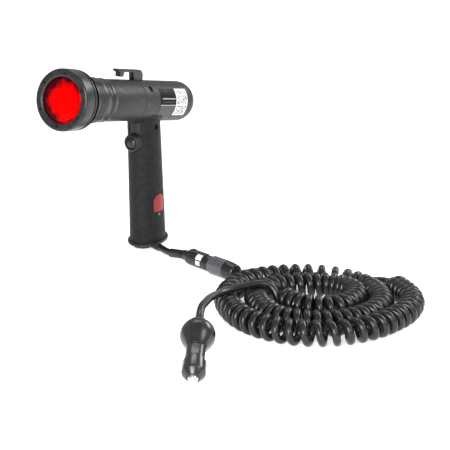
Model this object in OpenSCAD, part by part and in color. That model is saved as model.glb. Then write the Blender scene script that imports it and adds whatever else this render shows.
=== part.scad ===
// Pistol-grip hand spotlight with a red lens, a hanging hook, a push button
// on the front of the grip, an in-line connector, a curly cord and a
// vehicle-socket plug.
// The light stands on the round foot under its grip: the origin is on the
// foot's underside, below the middle of the grip, +Z is up, and the lens
// looks towards -Y. Lengths are in millimetres.

/* [Barrel] */
// Outer radius of the barrel tube and of the rear housing
tube_r = 22.1; // [21.8:0.1:22.4]
// Height of the barrel's axis above the origin
axis_h = 163.4; // [160:0.2:166]
// Angle by which the barrel points up
barrel_pitch = 10.6; // [9:0.1:12]
// Distance along the barrel from above the origin to the bezel's face
face_a = 152; // [151:0.5:153]
// Outer radius of the bezel
bezel_r = 31.2; // [30.8:0.1:32]
// Radius of the opening in front of the lens
opening_r = 23.1; // [22.4:0.1:23.4]
// Distance from above the origin to the joint of the tube and the housing
seam_a = 31; // [31:0.5:34]
// Distance behind the origin at which the dome begins
dome_a = 57.5; // [56:0.5:60]
// Thickness of the housing's wall
wall = 2.5; // [2.3:0.1:2.7]

/* [Grip] */
// Half width of the grip on the floor
grip_half_w = 19.1; // [19:0.1:20]
// Loss of half width for each millimetre of height
grip_taper = 0.0149; // [0.010:0.0005:0.016]
// Depth of the grip as a multiple of its width
grip_ratio = 1.16; // [1.14:0.01:1.18]
// Forward lean of the grip for each millimetre of height
grip_lean = 0.03; // [0.02:0.005:0.035]
// Height of the grip's lower end at its middle
grip_z0 = 9.2; // [9.1:0.1:9.3]
// Height of the base cap's underside below the middle of the grip
cap_z = 6.0; // [5.9:0.1:6.1]
// Radius of the red foot
foot_r = 10.4; // [10.2:0.1:10.6]

/* [Controls] */
// Height of the push button's axis
trigger_z = 122; // [121:0.5:123]
// Travel of the push button
trigger_travel = 2.5; // [1:0.1:2.8]
// Travel of the red side button
side_travel = 1.2; // [0.5:0.1:1.3]

/* [Plug] */
// Radius of the plug where it enters a vehicle socket
plug_r = 10.45; // [10.3:0.05:10.5]
// Travel of the plug's sprung tip
tip_travel = 3; // [1:0.5:3]
// Travel of each side contact
contact_travel = 1.2; // [0.5:0.1:1.3]

/* [Cord] */
// Radius of the round cable
cable_r = 3.7; // [3.5:0.1:3.8]
// Outer radius of the curly cord
curl_r = 12.6; // [12.2:0.1:12.8]

/* [Hidden] */
fine = 96;
side = 48;
eps = 0.01;

charcoal = [0.24, 0.24, 0.26];
black = [0.10, 0.10, 0.11];
soft_black = [0.16, 0.16, 0.17];
red = [0.72, 0.16, 0.14];
metal = [0.80, 0.80, 0.78];
brass = [0.80, 0.66, 0.35];

// Stations along the barrel, counted forward from above the origin.
lip_a = face_a - 1.6;       // back of the bezel's inner lip
ring_a = face_a - 14.4;       // back of the bezel
clamp_a = ring_a - 4.4;     // back of the clamp ring
flange_a = clamp_a - 1.4;     // front of the head shell's flange
flange_t = 2.6;               // thickness of that flange
seat_r = 24.8;                // bore that holds the lens, the window and the spigot
spigot_a = face_a - 10;     // front end of the head shell
neck_a = seam_a + 53;       // back of the visible part of the head
gasket_t = 2;                 // thickness of the front gasket
screw_pcd_r = 26.6;
screw_count = 6;
throat_a = face_a - 38.4;   // apex of the reflector
board_a = face_a - 40;      // front of the heat sink, under the LED board

// Inner radii that follow from the wall.
inner_r = tube_r - wall;
joint_r = inner_r + 0.8;    // bore that takes the tube's rear end
tube_bore_r = tube_r - 3.3;

function grip_a(z) = grip_half_w - grip_taper * z;
function grip_b(z) = grip_a(z) * grip_ratio;
function grip_y(z) = -grip_lean * z;
front_y = grip_y(trigger_z) - grip_b(trigger_z);   // front of the grip at the button

module on_barrel() {
    translate([0, 0, axis_h]) rotate([90 - barrel_pitch, 0, 0]) children();
}

module lathe(points) {
    rotate_extrude($fn = fine) polygon(points);
}

module ring(r_in, r_out, a0, a1) {
    rotate_extrude($fn = fine) translate([r_in, a0]) square([r_out - r_in, a1 - a0]);
}

module disc(r, a0, a1) {
    translate([0, 0, a0]) cylinder(r = r, h = a1 - a0, $fn = fine);
}

// ---- Sweeps -------------------------------------------------------------

function unit(v) = v / norm(v);
function heading(p, i) =
    unit(p[min(i + 1, len(p) - 1)] - p[max(i - 1, 0)]);

// Faces that join n rings of points, one after another, and close both ends.
function tube_faces(n, sides) = concat(
    [[for (k = [0 : sides - 1]) k]],
    [for (i = [0 : n - 2], k = [0 : sides - 1])
        let (p = i * sides + k, q = i * sides + (k + 1) % sides)
        each [[p, p + sides, q], [q, p + sides, q + sides]]],
    [[for (k = [sides - 1 : -1 : 0]) (n - 1) * sides + k]]
);

// A closed tube along path; ref is never parallel to the path.
module sweep(path, r, sides, ref = [0, 0, 1]) {
    n = len(path);
    points = [
        for (i = [0 : n - 1])
            let (t = heading(path, i), a = unit(cross(t, ref)), b = cross(t, a))
            for (k = [0 : sides - 1])
                path[i] + r * (cos(360 * k / sides) * a + sin(360 * k / sides) * b)
    ];
    polyhedron(points, tube_faces(n, sides));
}

// A compression spring about +Z from z = 0.
module coil_spring(r, wire_r, length, turns) {
    steps = 12;
    path = [
        for (i = [0 : turns * steps])
            [r * cos(360 * i / steps), r * sin(360 * i / steps),
             wire_r + (length - 2 * wire_r) * i / (turns * steps)]
    ];
    sweep(path, wire_r, 6);
}

// ---- Head ---------------------------------------------------------------

module screw_circle() {
    for (i = [0 : screw_count - 1])
        rotate([0, 0, 85 + i * 360 / screw_count]) translate([screw_pcd_r, 0, 0]) children();
}

module bezel_ring() {
    color(charcoal) on_barrel() difference() {
        lathe([
            [opening_r, lip_a], [opening_r, face_a - 1.4], [opening_r + 1.6, face_a],
            [bezel_r - 1.8, face_a], [bezel_r - 0.5, face_a - 0.5], [bezel_r, face_a - 1.8],
            [bezel_r, ring_a], [seat_r, ring_a], [seat_r, lip_a]
        ]);
        screw_circle() translate([0, 0, ring_a - eps]) cylinder(r = 1.25, h = 20, $fn = side);
        screw_circle() translate([0, 0, face_a - 1.3]) cylinder(r = 1.8, h = 3, $fn = side);
    }
}

module bezel_screws() {
    color(soft_black) on_barrel() screw_circle() difference() {
        union() {
            translate([0, 0, flange_a - 2.1]) cylinder(r = 1.15, h = face_a - flange_a + 1.3, $fn = side);
            translate([0, 0, face_a - 1.2]) cylinder(r = 1.65, h = 1, $fn = side);
        }
        translate([0, 0, face_a - 0.9]) cylinder(r = 0.9, h = 2, $fn = 6);
    }
}

module red_lens() {
    color([0.85, 0.05, 0.04]) on_barrel() lathe([
        [0, lip_a - 4], [seat_r - 0.2, lip_a - 4], [seat_r - 0.2, lip_a - 1],
        [opening_r - 0.6, lip_a - 1], [opening_r - 1.6, lip_a - 0.2], [15, lip_a + 0.5],
        [7, lip_a + 0.9], [0, lip_a + 1]
    ]);
}

module clear_window() {
    color([0.85, 0.92, 0.95]) on_barrel() disc(seat_r - 0.2, lip_a - 6, lip_a - 4);
}

// One seal in front of the lens and one behind the window.
module lens_seals() {
    color(black) on_barrel() {
        ring(opening_r + 0.3, seat_r - 0.1, lip_a - 1, lip_a);
        ring(opening_r, seat_r - 0.1, spigot_a, lip_a - 6);
    }
}

module front_gasket() {
    color(black) on_barrel() difference() {
        ring(seat_r, bezel_r - 0.7, ring_a - gasket_t, ring_a);
        screw_circle() translate([0, 0, ring_a - 4]) cylinder(r = 1.25, h = 6, $fn = side);
    }
}

module clamp_ring() {
    color(charcoal) on_barrel() difference() {
        lathe([
            [seat_r, clamp_a], [bezel_r - 0.5, clamp_a], [bezel_r - 0.2, clamp_a + 0.5],
            [bezel_r - 0.2, ring_a - gasket_t - 0.5], [bezel_r - 0.5, ring_a - gasket_t],
            [seat_r, ring_a - gasket_t]
        ]);
        screw_circle() translate([0, 0, clamp_a - 1]) cylinder(r = 1.25, h = 8, $fn = side);
    }
}

module rear_gasket() {
    color(black) on_barrel() difference() {
        ring(seat_r, bezel_r - 0.8, flange_a, clamp_a);
        screw_circle() translate([0, 0, flange_a - 1]) cylinder(r = 1.25, h = 4, $fn = side);
    }
}

module head_shell() {
    color(charcoal) on_barrel() difference() {
        lathe([
            [seat_r - 0.1, spigot_a], [seat_r - 0.1, flange_a], [bezel_r - 0.8, flange_a],
            [bezel_r - 0.5, flange_a - 0.5], [bezel_r - 0.5, flange_a - flange_t + 0.8],
            [bezel_r - 1.3, flange_a - flange_t], [25.3, flange_a - flange_t - 0.7],
            [24.9, flange_a - 5.6], [24.4, flange_a - 7.6], [24.2, neck_a + 33.4],
            [23.8, neck_a + 32.8], [23.7, neck_a + 21], [23.8, neck_a + 18],
            [23.3, neck_a + 15.6], [22.3, neck_a + 13.4], [21.9, neck_a + 11],
            [22.2, neck_a + 8.6], [22.9, neck_a + 6], [23, neck_a + 3.6],
            [tube_r + 0.3, neck_a + 0.8], [tube_r, neck_a], [tube_bore_r - 0.1, neck_a],
            [tube_bore_r - 0.1, neck_a - 10], [16.2, neck_a - 10], [16.2, neck_a + 14],
            [19, neck_a + 14], [19, throat_a + 0.4], [22.6, throat_a + 0.4], [22.6, spigot_a]
        ]);
        screw_circle() translate([0, 0, flange_a - 2.2]) cylinder(r = 1.2, h = 5, $fn = side);
        translate([0, 0, neck_a - 5]) ring(tube_bore_r - 1.1, tube_bore_r + 1, -0.9, 0.9);
    }
}

// The bowl widens as the square root of the distance from its apex.
reflector_steps = 12;
reflector_len = spigot_a - 0.5 - (throat_a + 1.4);
function bowl_r(a) = 21.6 * sqrt((a - throat_a) / (spigot_a - 0.5 - throat_a));
function bowl_a(i) = throat_a + 1.4 + reflector_len * i / reflector_steps;

module reflector() {
    color(metal) on_barrel() lathe(concat(
        [for (i = [0 : reflector_steps]) [bowl_r(bowl_a(i)), bowl_a(i)]],
        [for (i = [reflector_steps : -1 : 0]) [bowl_r(bowl_a(i)) + 0.9, bowl_a(i)]]
    ));
}

module led_board() {
    color([0.9, 0.9, 0.85]) on_barrel() {
        disc(10, board_a, board_a + 1.4);
        translate([-2.6, -2.6, board_a + 1.3]) cube([5.2, 5.2, 1]);
        translate([0, 0, board_a + 2.2]) intersection() {
            sphere(r = 2.4, $fn = side);
            translate([-3, -3, 0]) cube([6, 6, 3]);
        }
    }
}

module heat_sink() {
    fins = 5;
    gap = 3.4;
    color([0.62, 0.63, 0.65]) on_barrel() difference() {
        disc(18.9, neck_a + 14.2, board_a);
        for (i = [0 : fins - 1])
            translate([-20, (i - (fins - 1) / 2) * 2 * gap - gap / 2, neck_a + 14])
                cube([40, gap, 7]);
    }
}

// ---- Barrel -------------------------------------------------------------

module tube_o_ring() {
    color(black) on_barrel() ring(tube_bore_r - 1, tube_bore_r, neck_a - 5.8, neck_a - 4.2);
}

module barrel_tube() {
    color(charcoal) on_barrel() difference() {
        lathe([
            [tube_bore_r, seam_a - 9], [joint_r - 0.1, seam_a - 9], [joint_r - 0.1, seam_a],
            [tube_r - 0.4, seam_a], [tube_r, seam_a + 0.5], [tube_r, neck_a],
            [tube_bore_r, neck_a]
        ]);
        translate([0, 0, hook_screws_at[1][0]]) rotate([-90, 0, 0])
            cylinder(r = 1.4, h = 40, $fn = side);
    }
}

board_w = 34;
board_up = -6;

module driver_board() {
    color([0.05, 0.30, 0.16]) on_barrel()
        translate([-board_w / 2, board_up - 1.6, seam_a + 6]) cube([board_w, 1.6, 36]);
}

module driver_parts() {
    color(black) on_barrel() translate([0, board_up, seam_a]) {
        translate([-8, 0, 16]) rotate([-90, 0, 0]) cylinder(r = 6, h = 7, $fn = side);
        translate([7, 0, 13]) rotate([-90, 0, 0]) cylinder(r = 4, h = 11, $fn = side);
        translate([8, 0, 24]) rotate([-90, 0, 0]) cylinder(r = 3.2, h = 9, $fn = side);
        translate([-12, 0, 27]) cube([9, 2.4, 6]);
        translate([-1, 0, 31]) cube([5, 1.6, 5]);
        translate([2, 0, 34.4]) rotate([-90, 0, 0]) cylinder(r = 1.6, h = 3, $fn = side);
    }
}

module led_leads() {
    lead_r = 0.9;
    for (s = [-1, 1])
        color(s > 0 ? red : black) on_barrel()
            sweep([
                [6 * s, board_up + 1, seam_a + 38], [6 * s, board_up + 2, seam_a + 43],
                [10 * s, 0, seam_a + 50], [12.5 * s, 4 * s, seam_a + 58],
                [13 * s, 6 * s, seam_a + 66]
            ], lead_r, 8, [1, 0, 0]);
}

// ---- Housing ------------------------------------------------------------

module grip_body(inset, z0, z1) {
    points = [
        for (z = [z0, z1], k = [0 : fine - 1])
            [(grip_a(z) - inset) * cos(360 * k / fine),
             grip_y(z) + (grip_b(z) - inset) * sin(360 * k / fine), z]
    ];
    polyhedron(points, tube_faces(2, fine));
}

module barrel_body(r, front) {
    disc(r, -dome_a, front);
    translate([0, 0, -dome_a]) sphere(r = r, $fn = fine);
}

side_screws = [[17.4, 13.9, 12.5], [-63, 13.8, 12]]; // along, above the axis, boss
grip_screw = [-5, 137, 15.5];                        // Y, Z and boss length
boss_r = 3.6;
head_x = 11.5;                               // seat of the screws' heads

module along_x(x0, x1, r) {
    translate([x0, 0, 0]) rotate([0, 90, 0]) cylinder(r = r, h = x1 - x0, $fn = side);
}

module bosses(s) {
    on_barrel() for (p = side_screws)
        translate([0, p[1], p[0]]) along_x(s > 0 ? 0 : -p[2], s > 0 ? p[2] : 0, boss_r);
    translate([0, grip_screw[0], grip_screw[1]])
        along_x(s > 0 ? 0 : -grip_screw[2], s > 0 ? grip_screw[2] : 0, boss_r);
}

module at_screws() {
    on_barrel() for (s = side_screws) translate([0, s[1], s[0]]) children();
    translate([0, grip_screw[0], grip_screw[1]]) children();
}

// Outline of the red side button in the Y-Z plane, grown by g.
arch_y = -4.2;
arch_z = 55;
arch_low = 43;               // lower edge of the side button
arch_r = 7.3;

module button_outline(g) {
    r = arch_r + g;
    polygon(concat(
        [[arch_y - r, arch_low - g], [arch_y + r, arch_low - g]],
        [for (t = [0 : 15 : 180]) [arch_y + r * cos(t), arch_z + r * sin(t)]]
    ));
}

module extrude_x(x0, x1) {
    translate([x0, 0, 0]) rotate([90, 0, 90]) linear_extrude(x1 - x0) children();
}

lamp_pos = [-4.6, 39.3];     // Y and Z of the indicator lamp
boot_r = 9.8;
boot_sleeve_r = 8.6;
shoulder_y = front_y + 3.4; // seat of the boot's flange

module along_y(y0, y1, r) {
    translate([0, y0, 0]) rotate([-90, 0, 0]) cylinder(r = r, h = y1 - y0, $fn = side);
}

hook_screws_at = [[18.5, 17.7], [26, 17.1]]; // along the barrel, underside of the head
foot_pos = [-1.4, -8.2];
cap_screws = [[-9, 11], [9, 11]];

module housing_half(s) {
    difference() {
        union() {
            difference() {
                union() {
                    on_barrel() barrel_body(tube_r, seam_a);
                    grip_body(0, grip_z0 - 3, axis_h - 14);
                }
                on_barrel() barrel_body(inner_r, seam_a - 9.5);
                on_barrel() disc(joint_r, seam_a - 9.5, seam_a + 1);
                grip_body(wall, grip_z0 - 4, axis_h - 10);
            }
            bosses(s);
            for (p = cap_screws) if (p[0] * s > 0)
                translate([p[0], p[1], grip_z0 + 5.2]) {
                    cylinder(r = 3, h = 12, $fn = side);
                    translate([s > 0 ? 0 : -6, -1, 0]) cube([6, 2, 12]);
                }
        }
        translate([s > 0 ? -60 : 0, -200, -50]) cube([60, 400, 300]);
        at_screws() along_x(s > 0 ? -1 : -11, s > 0 ? 14 : 1, s > 0 ? 1.7 : 1.3);
        if (s > 0) at_screws() along_x(head_x, 30, 3.1);
        on_barrel() for (p = hook_screws_at)
            translate([0, 0, p[0]]) rotate([-90, 0, 0]) cylinder(r = 1.6, h = 40, $fn = side);
        translate([0, 0, trigger_z]) {
            along_y(front_y - 6, shoulder_y, boot_r + 0.1);
            along_y(front_y - 6, front_y + 14, boot_sleeve_r + 0.1);
        }
        tongue(-1, 1.75, 14.2, trigger_z + 8.4, 143.1);
        if (s > 0) extrude_x(8, 30) button_outline(0.25);
        if (s > 0) translate([0, lamp_pos[0], lamp_pos[1]]) along_x(8, 30, 1.6);
        at_cap() {
            translate([-40, -40, cap_t - 20]) cube([80, 80, 20]);
            for (p = cap_screws)
                translate([p[0], p[1], 1]) cylinder(r = 1.25, h = 19, $fn = side);
        }
        at_exit() disc(gland_r + 0.1, 10.5, 40);
    }
}

module housing_left() { color(charcoal) housing_half(1); }

module housing_right() { color(charcoal) housing_half(-1); }

module housing_screws() {
    color(metal) at_screws() difference() {
        union() {
            along_x(-9.5, head_x + 1, 1.25);
            along_x(head_x, head_x + 2, 2.8);
        }
        for (turn = [0, 90])
            rotate([turn, 0, 0]) translate([head_x + 1, -1.7, -0.35]) cube([3, 3.4, 0.7]);
    }
}

// Side view of the hook: distance along the barrel, height above its axis.
hook_w = 6.6;
hook_top = tube_r + 11;

module hook() {
    color(soft_black) on_barrel() difference() {
        rotate([0, -90, 0]) translate([0, 0, -hook_w / 2]) linear_extrude(hook_w) difference() {
            union() {
                polygon([
                    [14, tube_r - 0.6], [30.5, tube_r - 0.6], [31.5, tube_r + 3],
                    [32.5, tube_r + 7.8], [49, tube_r + 7.8], [50.5, tube_r + 3.6],
                    [52, tube_r + 2.8], [56, tube_r + 2.8], [57, tube_r + 3.6],
                    [57, tube_r + 7.6], [61, tube_r + 8], [62, tube_r + 8.8],
                    [62, tube_r + 10.2], [61, hook_top], [21, hook_top], [14, tube_r + 4]
                ]);
                translate([21, tube_r + 4]) circle(r = 7, $fn = fine);
            }
            circle(r = tube_r + 0.02, $fn = fine);
            translate([0, -60]) square([80, 60 + tube_r]);
        }
        disc(tube_r, 0, seam_a + 30);
        for (p = hook_screws_at)
            translate([0, 0, p[0]]) rotate([-90, 0, 0])
                cylinder(r = 1.25, h = tube_r + 7, $fn = side);
    }
}

module hook_screws() {
    color(metal) on_barrel() for (p = hook_screws_at)
        translate([0, 0, p[0]]) rotate([-90, 0, 0]) {
            translate([0, 0, p[1]]) cylinder(r = 2.6, h = 1.4, $fn = side);
            translate([0, 0, p[1] + 1]) cylinder(r = 1.2, h = tube_r + 4.6 - p[1], $fn = side);
        }
}

// A plate bent round the housing from angle t0 to t1, counted up from +X.
module bent_plate(a0, a1, t0, t1, thick) {
    on_barrel() rotate([0, 0, t0]) rotate_extrude(angle = t1 - t0, $fn = fine)
        translate([tube_r + eps, a0]) square([thick, a1 - a0]);
}

module label_plate() { color(black) bent_plate(-27, 3, -5.5, 41.5, 0.3); }

module label_strip() { color([0.42, 0.43, 0.45]) bent_plate(-27, 3, -38, -6, 0.3); }

module tag_plate() { color([0.93, 0.93, 0.92]) bent_plate(-50.5, -27.6, -39, 42, 0.3); }

// ---- Push button --------------------------------------------------------

lip_r = 6.2;
bore_r = 6.9;
boot_front = 6.5;            // front of the boot, ahead of the grip

// A skin of the grip's front above the button, g0 to g1 under its surface.
module tongue(g0, g1, w, z0, z1) {
    intersection() {
        difference() {
            grip_body(g0, trigger_z, 150);
            grip_body(g1, trigger_z - 1, 151);
        }
        translate([-w / 2, -60, z0]) cube([w, 50, z1 - z0]);
    }
}

module at_front() { translate([0, front_y, trigger_z]) rotate([90, 0, 0]) children(); }

module trigger_boot() {
    color(black) {
        at_front() lathe([
            [bore_r, -10.4], [boot_sleeve_r, -10.4], [boot_sleeve_r, -3.4], [boot_r, -3.4],
            [boot_r, 3], [boot_r - 0.5, 5], [boot_r - 1.5, 6.2], [boot_r - 2.5, boot_front],
            [lip_r + 0.4, boot_front - 0.3], [lip_r, boot_front - 0.9], [lip_r, -1.6],
            [bore_r, -1.6]
        ]);
        tongue(0.7, 1.7, 14, trigger_z + 8.5, 143);
    }
}

module trigger_nut() {
    color(metal) translate([0, 0, trigger_z]) difference() {
        along_y(front_y + 8.2, front_y + 10.4, boot_sleeve_r + 1.8);
        along_y(front_y + 7, front_y + 12, boot_sleeve_r + 0.02);
    }
}

// The dome is a circular arc that meets the button's side.
dome_steps = 6;

module trigger_button() {
    color(soft_black) translate([0, front_y, trigger_z]) rotate([90, 0, 0]) lathe(concat(
        [[0, -6.4], [bore_r - 0.1, -6.4], [bore_r - 0.1, -1.9], [lip_r - 0.1, -1.9]],
        [for (i = [0 : dome_steps])
            let (t = 90 * i / dome_steps) [(lip_r - 0.1) * cos(t), 4.4 + 3.2 * sin(t)]]
    ));
}

switch_y = front_y + 14.6;

module trigger_spring() {
    color(metal) translate([0, front_y + 6.4, trigger_z]) rotate([-90, 0, 0])
        coil_spring(4, 0.4, switch_y - front_y - 6.4, 5);
}

module trigger_switch() {
    color(black) translate([0, 0, trigger_z]) {
        translate([-6, switch_y, -8]) cube([12, 12, 16]);
        translate([-13.6, switch_y + 4, -4]) cube([27.2, 3, 8]);
        along_y(switch_y - 5.5, switch_y + 1, 2);
    }
}

// ---- Side button --------------------------------------------------------

module side_button() {
    color(red) {
        intersection() {
            extrude_x(9.8, 24) button_outline(0);
            translate([-2.7, -2.5, 30]) cylinder(r = 22, h = 40, $fn = fine);
        }
        extrude_x(9.8, 11.2) button_outline(0.9);
    }
}

module side_spring() {
    color(metal) translate([6.5, arch_y, 50]) rotate([0, 90, 0]) coil_spring(2.6, 0.3, 3.3, 3);
}

module side_switch() {
    color(black) translate([0, arch_y, 50]) {
        translate([-13.5, -6, -7]) cube([20, 12, 14]);
        along_x(6, 8.3, 1.4);
    }
}

module indicator_lens() {
    color([0.35, 0.75, 0.45]) translate([0, lamp_pos[0], lamp_pos[1]]) {
        along_x(12, 18.9, 1.5);
        along_x(11, 12.5, 2.2);
    }
}

// ---- Base ---------------------------------------------------------------

exit_turn = -26;                 // direction of the cable as it leaves the base
exit_pos = [0, -2.4, 4.6];       // the point that the cable's line starts from
gland_r = 4.4;
gland_end = 29;
cap_slope = 0.0945;              // rise of the base for each millimetre towards +Y
cap_t = grip_z0 - cap_z;

// The base's own frame: its Z = 0 is the cap's underside.
module at_cap() { translate([0, 0, cap_z]) rotate([atan(cap_slope), 0, 0]) children(); }

module at_exit() { translate(exit_pos) rotate([0, 90, exit_turn]) children(); }

module base_cap() {
    a = grip_a(0) + 2.3;
    color(charcoal) difference() {
        at_cap() difference() {
            union() {
                hull() {
                    scale([a - 0.6, (a - 0.6) * grip_ratio, 1])
                        cylinder(r = 1, h = eps, $fn = fine);
                    translate([0, 0, 0.6]) scale([a, a * grip_ratio, 1])
                        cylinder(r = 1, h = cap_t - 1.2, $fn = fine);
                    translate([0, 0, cap_t - eps]) scale([a - 0.7, (a - 0.7) * grip_ratio, 1])
                        cylinder(r = 1, h = eps, $fn = fine);
                }
                translate([0, -0.3, cap_t - 1])
                    scale([grip_a(0) - wall - 0.6, grip_b(0) - wall - 1, 1])
                        cylinder(r = 1, h = 4.4, $fn = fine);
            }
            for (p = cap_screws) translate([p[0], p[1], -1]) {
                cylinder(r = 1.7, h = 30, $fn = side);
                cylinder(r = 3.1, h = 3.2, $fn = side);
            }
            translate([foot_pos[0], foot_pos[1], -1]) cylinder(r = 1.3, h = 30, $fn = side);
        }
        at_exit() disc(gland_r + 0.1, 10.5, 40);
        translate([6, -14.5, grip_z0 - 2]) cube([8, 6, 8]);
    }
}

module base_screws() {
    color(metal) at_cap() for (p = cap_screws) translate([p[0], p[1], 0]) {
        translate([0, 0, 0.3]) cylinder(r = 2.9, h = 1.7, $fn = side);
        translate([0, 0, 0.5]) cylinder(r = 1.2, h = 16, $fn = side);
    }
}

module base_foot() {
    color(red) difference() {
        translate([foot_pos[0], foot_pos[1], 0]) lathe([
            [0, 0], [foot_r - 0.8, 0], [foot_r - 0.25, 0.3], [foot_r, 1], [foot_r, 9], [0, 9]
        ]);
        at_cap() translate([-40, -40, 0]) cube([80, 80, 40]);
        translate([foot_pos[0], foot_pos[1], -1]) cylinder(r = 3.3, h = 3, $fn = side);
        translate([foot_pos[0], foot_pos[1], -1]) cylinder(r = 1.9, h = 20, $fn = side);
    }
}

module foot_screw() {
    color(metal) {
        translate([foot_pos[0], foot_pos[1], 0.5]) cylinder(r = 3, h = 1.5, $fn = side);
        at_cap() translate([foot_pos[0], foot_pos[1], -4]) cylinder(r = 1.25, h = 13, $fn = side);
    }
}

module cable_gland() {
    color(black) at_exit() lathe([
        [0, 13], [gland_r - 0.3, 13], [gland_r, 13.4], [gland_r, 22],
        [cable_r + 0.3, gland_end], [0, gland_end]
    ]);
}

module wire_harness() {
    for (s = [-1, 1])
        color(s > 0 ? red : black) sweep([
            [9 + s, -11.5, 9.4], [8 + s, -11.4, 16], [7 + 2 * s, -10.6, 26],
            [4 + 2 * s, 8 + s, 36], [2 * s, 9, 60], [2 * s, 7.4, 84], [2 * s, 6, 108],
            [2 * s, 5, 118]
        ], 0.9, 8, [1, 0, 0]);
}

// ---- Cord ---------------------------------------------------------------

connector_pos = [70, -35.5, 9.9];
connector_turn = -16.5;
function along_connector(d) =
    connector_pos + d * [cos(connector_turn), sin(connector_turn), 0];
backshell_end = 81;

function along_exit(d) = exit_pos + d * [cos(exit_turn), sin(exit_turn), 0];

pigtail_route = [
    along_exit(gland_end), along_exit(gland_end + 2), [32, -17.9, 4.5], [36, -19.9, 4.4],
    [41, -22.4, 4.6], [46, -24.8, 5]
];
lead_route = [
    along_connector(backshell_end), along_connector(backshell_end + 2), [153.5, -59.3, 10.8],
    [158.5, -57, 11.6], [162.5, -52, 11.8], [165, -45.5, 10.8], [168.5, -39, 9], [174, -34, 7],
    [182, -30.5, 5.4], [192, -27, 4.4], [204, -22.5, 4], [218, -16.5, 4], [234, -10.5, 4],
    [249, -4, 4], [262, 3.5, 4], [273, 8.5, 4.2], [282, 9.5, 5.2], [290, 6, 6.8],
    [295, -0.5, 8.8], [298.2, -7, 11]
];
coil_z = 13;
coil_path = [
    [302, -15], [309, -21], [319, -29], [326, -35], [333, -43], [340, -54], [344, -67],
    [345.5, -82], [344, -97], [337, -126], [322, -152], [300, -171], [274, -181], [246, -181],
    [220, -172], [197, -155], [180, -133], [173, -106], [177, -79], [193, -56], [218, -38],
    [246, -30], [270, -32], [287, -39], [299, -48], [309, -59], [317, -73], [320, -89],
    [319, -104], [315, -118], [308, -130], [299, -141], [288, -149], [276, -154], [262, -157],
    [249, -156], [237, -151], [224, -142], [212, -129], [203, -113], [202, -98], [206, -84],
    [214, -74], [226, -64], [237, -56], [249, -50], [261, -49], [272, -52], [283, -60],
    [289, -72], [290, -86], [287, -99], [280, -108], [268, -114], [256, -116], [245, -114],
    [235, -110], [226, -107]
];
coil_route = [for (p = coil_path) [p[0], p[1], coil_z]];
tail_route = [
    [213, -112, 27.4], [208, -122, 28.8], [203, -133, 29.4], [198, -145, 29.6],
    [194.5, -157, 30], [193.5, -168, 30.9], [195.5, -182, 33.6], [200, -198, 36.8],
    [205, -213, 38.8], [210.2, -228.5, 39.9]
];

module pigtail_cord() { color(black) sweep(pigtail_route, cable_r, 10); }

module lead_cord() { color(black) sweep(lead_route, cable_r, 10); }

module coil_cord() { color(black) sweep(coil_route, curl_r, 12); }

module tail_cord() {
    color(black)
        sweep(concat(tail_route, [along_plug(-10), along_plug(-6), along_plug(-4)]), cable_r, 10);
}

sleeve_ends = [[46, -24.8, 5], [70, -35.5, 9.9]];
sleeve_r = 4.8;

module pigtail_sleeve() {
    run = sleeve_ends[1] - sleeve_ends[0];
    color(soft_black) translate(sleeve_ends[0])
        rotate([0, acos(run[2] / norm(run)), atan2(run[1], run[0])]) lathe([
            [0, 0.3], [sleeve_r - 0.9, 0.3], [sleeve_r, 1.6], [sleeve_r, norm(run) - 1.4],
            [0, norm(run) - 1.4]
        ]);
}

// ---- In-line connector --------------------------------------------------

module on_connector() {
    translate(connector_pos) rotate([0, 90, connector_turn]) children();
}

pin_gap = 3.6;

module connector_socket() {
    color(soft_black) on_connector() difference() {
        union() {
            lathe([
                [0, 0], [5, 0], [5.6, 0.8], [5.6, 5], [7.6, 9], [8.2, 12], [8.4, 39.8],
                [7.9, 42.8], [0, 42.8]
            ]);
            translate([-9.6, -3, 12]) cube([4, 6, 5]);
            translate([-9, -3, 15]) cube([3, 6, 22]);
        }
        for (s = [-1, 1]) translate([0, s * pin_gap, 26.8]) cylinder(r = 1.6, h = 20, $fn = side);
    }
}

module connector_seal() {
    color(soft_black) on_connector() difference() {
        disc(8.1, 42.8, 44);
        for (s = [-1, 1]) translate([0, s * pin_gap, 36]) cylinder(r = 1.6, h = 20, $fn = side);
    }
}

module connector_plug() {
    flat_r = 9.1;                // half the distance across the flats
    color(charcoal) on_connector() difference() {
        rotate([0, 0, 22.5]) {
            translate([0, 0, 44]) cylinder(r1 = flat_r, r2 = flat_r / cos(22.5), h = 1, $fn = 8);
            translate([0, 0, 45]) cylinder(r = flat_r / cos(22.5), h = 21.5, $fn = 8);
        }
        for (s = [-1, 1]) translate([0, s * pin_gap, 42.8]) cylinder(r = 1.5, h = 20, $fn = side);
    }
}

module connector_pins() {
    color(brass) on_connector() for (s = [-1, 1]) translate([0, s * pin_gap, 30.8]) {
        cylinder(r = 1.5, h = 32, $fn = side);
        sphere(r = 1.5, $fn = side);
    }
}

module connector_backshell() {
    color(soft_black) on_connector() lathe([
        [0, 66.5], [9.2, 66.5], [9.6, 67.1], [9.6, 70], [8.4, 79.6], [7.4, backshell_end],
        [0, backshell_end]
    ]);
}

// ---- Vehicle plug -------------------------------------------------------

// The plug leans on its nose: its local +Z runs from the cable to the tip.
plug_pos = [219.4, -247.6, 34.8];
plug_turn = -63;
plug_drop = 20.4;
plug_len = 72.5;             // back of the shell to the front of the nose
function along_plug(d) = plug_pos
    + d * [cos(plug_drop) * cos(plug_turn), cos(plug_drop) * sin(plug_turn), -sin(plug_drop)];

module on_plug() { translate(plug_pos) rotate([0, 90 + plug_drop, plug_turn]) children(); }

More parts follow.
